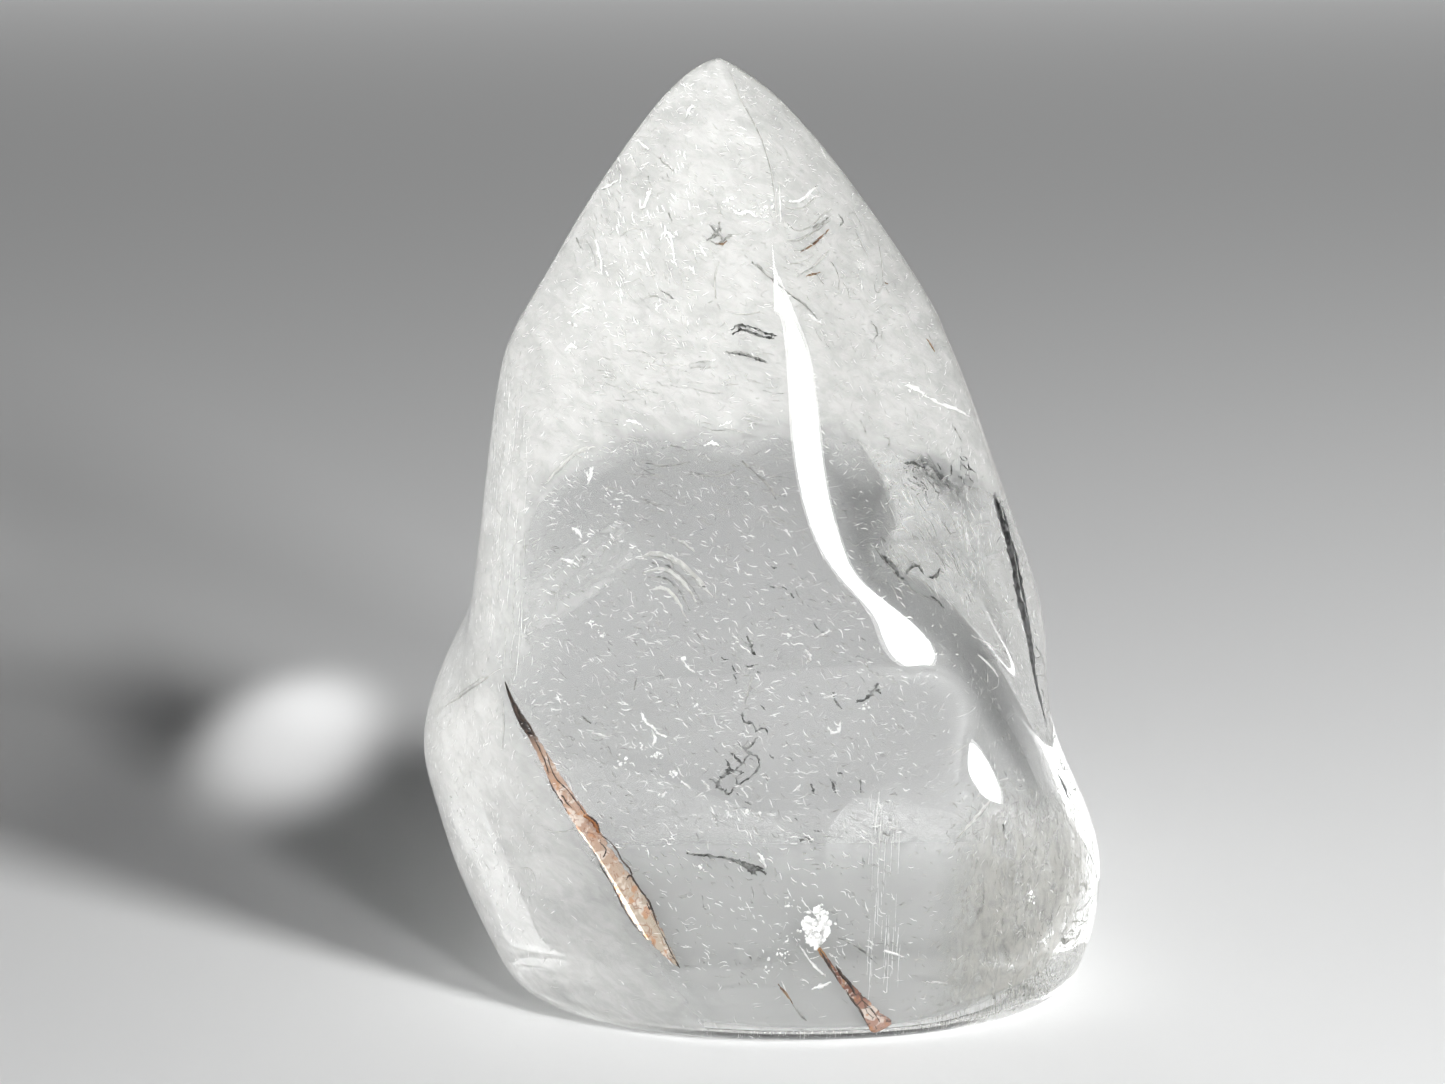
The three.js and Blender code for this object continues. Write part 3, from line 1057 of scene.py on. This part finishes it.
PALE_THREADS_AND_HIGHLIGHTS = [
    2.0,
    (0.55, (636, 558), (655, 554), (675, 560), (695, 577), (713, 597)),
    (0.45, (642, 573), (662, 569), (680, 580), (697, 602)),
    (0.35, (650, 590), (664, 588), (677, 600), (686, 618)),
    (0.3, (672, 538), (684, 543), (694, 551)),
    0.5,
    # Painted highlight: the pale line along the fold at the top of the left lobe.
    (0.45, (425, 722), (450, 702), (476, 684), (503, 668)),
    (0.5, (545, 484), (560, 468), (578, 452), (602, 444)),
    0.6,
    # Painted highlight: the thin tail of the crescent reflection low on the right.
    (0.3, (958, 838), (970, 824), (984, 808), (998, 792)),
]


def threads(name, strands, wander, finish):
    """One mesh of thin threads, with their points shifted by up to about wander millimetres. Each thread has
    its width and depth in millimetres, and its pixels."""
    curve = bpy.data.curves.new(name, "CURVE")
    curve.dimensions = "3D"
    curve.bevel_depth = 0.5 * MM
    curve.bevel_resolution = 0
    curve.resolution_u = 5
    for width, depth, path in strands:
        line = curve.splines.new("BEZIER")
        line.bezier_points.add(len(path) - 1)
        for n, spot in enumerate(path):
            point = line.bezier_points[n]
            point.co = under(*spot, depth)
            point.handle_left_type = "AUTO"
            point.handle_right_type = "AUTO"
            point.radius = width * (0.35 if n in (0, len(path) - 1) else 1)
    pick(put(name, curve))
    bpy.ops.object.convert(target="MESH")
    piece = bpy.context.object
    shifts = np.random.default_rng(len(strands)).normal(0, wander / 2 * MM, (len(piece.data.vertices), 3))
    for point, shift in zip(piece.data.vertices, shifts):
        point.co += Vector(shift)
    inside(piece, finish)


def listed(table):
    """The threads of a table, each with its depth."""
    return [(width, depth, path) for (width, *path), depth in with_depths(table)]


# Combed marks: the seed and the number of threads, the left, top, right and bottom of the box of pixels that
# they start in, the way they lean, the longest in pixels, the widest and the depth in millimetres, and how
# far they stray from the lean.
DOWN_RIGHT = (0.85, 0.5)
STEEPLY = (0.5, 0.9)
STEEPER = (0.4, 0.9)
UPRIGHT = (-0.08, 1.0)
SHADOW_HATCH = [
    (32, 40, (903, 456, 970, 492), (0.6, 0.8), 9, 0.16, 0.3, 0.4),
    (48, 24, (700, 540, 880, 900), DOWN_RIGHT, 8, 0.16, 1.0, 0.5),
]
GREY_MARKS = [
    (31, 60, (885, 470, 975, 590), STEEPLY, 22, 0.14, 1.5, 0.15),
    (33, 70, (590, 350, 775, 440), (1.0, 0.12), 30, 0.09, 0.4, 0.15),
    (34, 60, (600, 455, 780, 520), (1.0, 0.25), 26, 0.14, 1.0, 0.15),
    (35, 900, (545, 480, 900, 985), DOWN_RIGHT, 10, 0.15, 1.6, 0.45),
]
LIGHT_MARKS = [
    (36, 110, (600, 150, 700, 320), (0.3, 1.0), 10, 0.26, 0.35, 0.15),
    (37, 70, (488, 350, 528, 640), UPRIGHT, 50, 0.10, 0.5, 0.04),
    (38, 55, (868, 790, 902, 960), (-0.05, 1.0), 60, 0.08, 2.5, 0.02),
    (40, 34, (955, 440, 990, 600), (0.1, 1.0), 26, 0.09, 0.6, 0.08),
    (41, 60, (880, 470, 975, 600), STEEPLY, 20, 0.12, 1.5, 0.15),
    (42, 900, (540, 470, 910, 985), DOWN_RIGHT, 9, 0.16, 1.4, 0.45),
]
SOFT_MARKS = [
    (43, 80, (590, 160, 720, 330), STEEPER, 14, 0.14, 0.35, 0.15),
    (44, 60, (790, 250, 930, 420), STEEPER, 14, 0.12, 0.35, 0.15),
    (46, 40, (488, 350, 528, 640), UPRIGHT, 40, 0.08, 0.5, 0.04),
]
FOOT_MARKS = [(39, 160, (960, 790, 1065, 975), (-0.15, 1.0), 20, 0.09, 0.8, 0.08)]


def combed(table):
    """The threads of a table of combed marks."""
    strands = []
    for seed, number, (left, top, right, bottom), lean, longest, widest, depth, stray in table:
        rng = np.random.default_rng(seed)
        lean = np.array(lean) / math.hypot(*lean)
        aside = np.array((-lean[1], lean[0]))
        for _ in range(number):
            start = rng.uniform((left, top), (right, bottom))
            length = rng.uniform(0.25, 1.0) * longest
            bend = rng.normal(0, stray / 3) * length
            way = lean + aside * rng.normal(0, stray)
            path = [start + way * length * t + aside * bend * (1 - (2 * t - 1) ** 2) for t in (0.0, 0.5, 1.0)]
            strands.append((rng.uniform(0.4, 1.0) * widest, depth * rng.uniform(0.7, 1.4), path))
    return strands


def make_threads():
    ridge = frost_finish("ridge_grey", (0.80, 0.80, 0.78), (0.62, 0.62, 0.60), 0.45)
    grey = frost_finish("thread_grey", (0.60, 0.60, 0.58), (0.40, 0.40, 0.39), 0.45)
    dark = frost_finish("thread_dark", (0.40, 0.41, 0.40), (0.10, 0.105, 0.10), 0.50)
    black = frost_finish("edge_shade_black", (0.20, 0.20, 0.20), (0.04, 0.04, 0.04), 0.50)
    rust = frost_finish("thread_rust", (0.45, 0.30, 0.18), (0.25, 0.14, 0.08), 0.45)
    white = plain_finish("thread_white", (0.98, 0.98, 0.97))
    pale = frost_finish("thread_pale", (0.88, 0.88, 0.86), (0.72, 0.72, 0.70), 0.45)
    threads("ridge_shade_and_arcs", listed(RIDGE_SHADE_AND_ARCS), 0.04, ridge)
    threads("grey_threads_and_edge_shade", listed(GREY_THREADS_AND_EDGE_SHADE), 0.12, grey)
    threads("dark_threads", listed(DARK_THREADS), 0.16, dark)
    threads("right_edge_shade", listed(RIGHT_EDGE_SHADE), 0.20, black)
    threads("rust_threads", listed(RUST_THREADS), 0.08, rust)
    threads("white_threads_and_highlight", listed(WHITE_THREADS_AND_HIGHLIGHT), 0.12, white)
    threads("pale_threads_and_highlights", listed(PALE_THREADS_AND_HIGHLIGHTS), 0.10, pale)
    threads("shadow_hatch", combed(SHADOW_HATCH), 0.08, dark)
    threads("grey_marks", combed(GREY_MARKS), 0.03, grey)
    threads("light_marks", combed(LIGHT_MARKS), 0.03, white)
    threads("soft_marks", combed(SOFT_MARKS), 0.03, ridge)
    threads("foot_marks", combed(FOOT_MARKS), 0.03, grey)


# Seams and crumbs, with depths as above

LONG_SEAM = [
    0.4, (505, 682), (511, 700), (520, 717),
    0.5, (531, 734), (543, 755), (555, 778), (570, 803), (588, 829), (604, 852), (620, 877), (636, 903),
    (652, 931), (666, 951), (680, 968),
]
LONG_SEAM_WIDTHS = (0.15, 0.55, 1.0, 0.9, 1.2, 1.5, 1.8, 2.2, 1.8, 2.2, 2.9, 2.4, 1.3, 0.2)
SHORT_SEAM = [
    0.6, (818, 947), (825, 958), (834, 971), (843, 982), (854, 993), (865, 1007), (876, 1020),
    (884, 1030),
]
SHORT_SEAM_WIDTHS = (0.5, 0.6, 0.5, 0.8, 1.3, 1.5, 2.0, 2.9)
SEAM_EDGES = [
    0.3,
    (0.4, (505, 682), (508, 691), (512, 700)),
    (0.6, (511, 700), (515, 708), (520, 717), (524, 722)),
    (0.34, (517, 718), (522, 727), (528, 732), (534, 734)),
    (0.22, (524, 718), (530, 726), (534, 736)),
    (0.26, (547, 770), (549, 778), (551, 786)),
    (0.14, (534, 738), (540, 750), (546, 764), (552, 787), (559, 797), (567, 811), (577, 826), (588, 841)),
    (0.22, (586, 815), (592, 818), (597, 824), (600, 833)),
    (0.14, (546, 752), (556, 778), (566, 788), (576, 801), (585, 814)),
    (0.16, (600, 834), (613, 845), (622, 860), (630, 870), (633, 880)),
    (0.18, (626, 880), (630, 876), (634, 880), (640, 890), (648, 900), (654, 915), (658, 926)),
    (0.24, (647, 903), (650, 910)),
    (0.24, (654, 914), (656, 921)),
    (0.13, (592, 848), (604, 872), (615, 890), (622, 905), (632, 922), (645, 938)),
    (0.12, (658, 926), (666, 942), (673, 956), (680, 968)),
    (0.16, (670, 956), (675, 959)),
    (0.16, (556, 800), (562, 796), (566, 802), (572, 808)),
    (0.14, (600, 842), (606, 850), (603, 860), (610, 868)),
    0.4,
    (0.22, (820, 950), (826, 960), (832, 970), (838, 980)),
    (0.3, (836, 966), (842, 975), (850, 984), (856, 996)),
    (0.2, (846, 990), (852, 1000), (860, 1010), (866, 1022)),
    (0.16, (862, 1000), (872, 1010), (880, 1022)),
]
ORANGE_SPOT = [0.35, (0.5, (584, 816), (590, 819), (596, 825), (599, 832))]
CRUMB_HEAP = [
    1, (808, 928), (816, 924), (824, 930), (811, 936), (820, 938), (816, 943), (806, 922), (819, 910),
    (820, 916), (826, 924),
]
CRUMB_SPOTS = [
    2, (787, 902), (789, 936), (779, 952), (785, 955), (769, 966), (657, 755), (656, 758), (700, 870),
    (748, 812), (757, 818), (728, 815), (787, 633), (697, 706), (712, 822), (620, 762), (680, 660),
    (866, 707), (662, 792), (674, 775), (640, 748),
]
BRIGHT_BITS = [
    0.5, (590, 282), (586, 288), (632, 274), (636, 286), (628, 290), (672, 268), (690, 112), (727, 204),
    (842, 262), (859, 263), (861, 274), (844, 275), (568, 350), (574, 327), (819, 322), (594, 318),
    1.2, (612, 505),
    0.8, (588, 455),
    0.5, (623, 196), (648, 192), (700, 250), (668, 200), (612, 302), (600, 310),
]
WHITE_PATCHES_AND_HIGHLIGHT = [
    0.4, (723, 208), (727, 202), (731, 199), (730, 207), (737, 210), (758, 209), (763, 213), (768, 212),
    (772, 208), (858, 263), (860, 270),
    0.6, (590, 452), (586, 458),
    # Painted highlight: crumbs along the thin bright streak across the scoop.
    0.4, (910, 386), (924, 395), (940, 404),
    1.0, (618, 506),
    0.6, (591, 475),
    0.4, (1029, 892), (1031, 899),
    1.0, (590, 622), (600, 634),
    0.4, (1058, 792),
]

LONG_SEAM_ACROSS = (0.85, 0.35, 0.53)
SHORT_SEAM_ACROSS = (0.85, 0.3, 0.45)
NEARLY_BLACK = (0.035, 0.022, 0.018)
BROWN = (0.30, 0.14, 0.08)


def make_seams():
    stain = stain_finish("long_stain", NEARLY_BLACK, (0.50, 0.33, 0.24), (0.50, 0.42, 0.33), BROWN, 0.20)
    sheet("long_seam", ribbon(LONG_SEAM, LONG_SEAM_WIDTHS, LONG_SEAM_ACROSS), stain)
    short_tones = (0.40, 0.20, 0.07), (0.22, 0.08, 0.045), (0.42, 0.24, 0.18)
    stain = stain_finish("short_stain", *short_tones, NEARLY_BLACK, 0.06)
    sheet("short_seam", ribbon(SHORT_SEAM, SHORT_SEAM_WIDTHS, SHORT_SEAM_ACROSS), stain)
    orange = frost_finish("orange_spot", (0.55, 0.22, 0.06), (0.30, 0.10, 0.04), 0.45)
    threads("orange_spot", listed(ORANGE_SPOT), 0.15, orange)
    edge = frost_finish("seam_edge", (0.12, 0.08, 0.06), (0.05, 0.035, 0.03), 0.45)
    threads("seam_edges", listed(SEAM_EDGES), 0.06, edge)


def make_crumbs():
    crumb = plain_finish("white_crumb", (0.99, 0.99, 0.98))
    grains("crumb_heap", CRUMB_HEAP, 16, 0.34, 0.35, 1.15, 3, crumb)
    grains("crumb_spots", CRUMB_SPOTS, 6, 0.28, 0.2, 0.6, 4, crumb)
    grains("bright_bits", BRIGHT_BITS, 6, 0.14, 0.12, 0.40, 5, crumb)
    grains("white_patches_and_highlight", WHITE_PATCHES_AND_HIGHLIGHT, 7, 0.22, 0.15, 0.50, 6, crumb)


make_camera()
make_floor()
make_world()
make_lights()

stone = make_stone()
STONE_TREE = tree_of(stone)
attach(stone, "root")
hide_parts("quartz_flame")
make_milk()
make_frost()
make_veils()
make_threads()
make_seams()
make_crumbs()

scene = bpy.context.scene
scene.view_settings.view_transform = "Standard"
scene.cycles.max_bounces = 12
scene.cycles.diffuse_bounces = 4
scene.cycles.sample_clamp_indirect = 60
scene.cycles.transmission_bounces = 10
scene.cycles.glossy_bounces = 5
scene.cycles.transparent_max_bounces = 32
